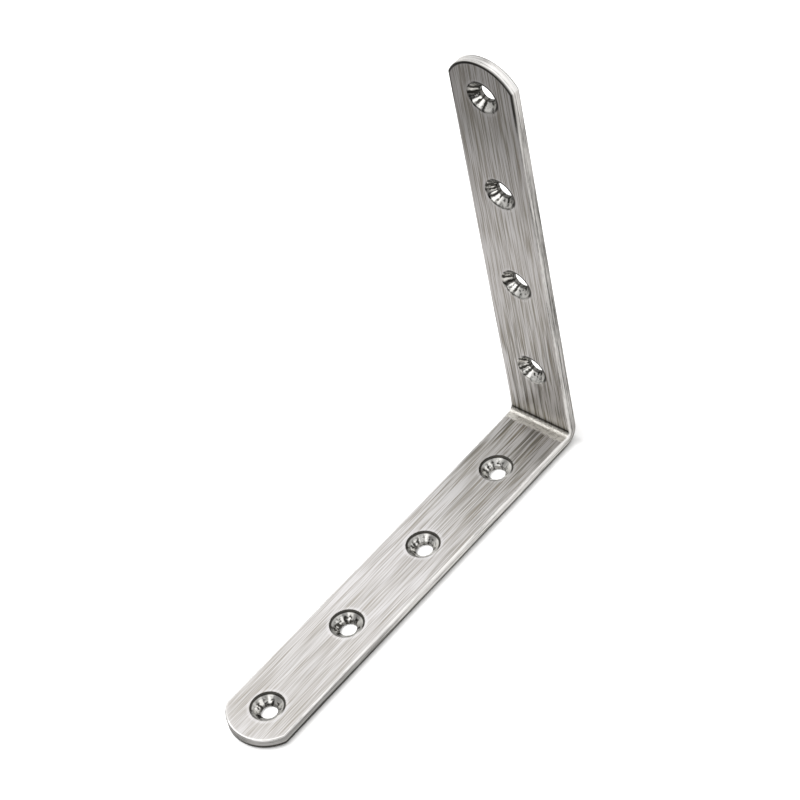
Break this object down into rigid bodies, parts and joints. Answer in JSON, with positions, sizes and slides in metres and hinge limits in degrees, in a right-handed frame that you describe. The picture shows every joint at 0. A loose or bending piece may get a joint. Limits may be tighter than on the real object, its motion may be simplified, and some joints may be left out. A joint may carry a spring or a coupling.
{
  "type": "corner brace",
  "caption": "Metal strip bent square into two equal legs with rounded ends and countersunk screw holes inside the angle, to stiffen the inside corner of a wooden frame.",
  "frame": {"origin": "outside heel: where the planes of the two outer faces meet, midway across the strip", "axes": "+X across the strip; one leg lies along -Y with its outer face on Z = 0; the other stands along +Z with its outer face on Y = 0"},
  "size_m": [0.0196, 0.125, 0.125],
  "materials": {
    "strip": "brushed along the strip, bright tumbled edges"
  },
  "bodies": {
    "root": {"brace": "strip"}
  },
  "joints": []
}
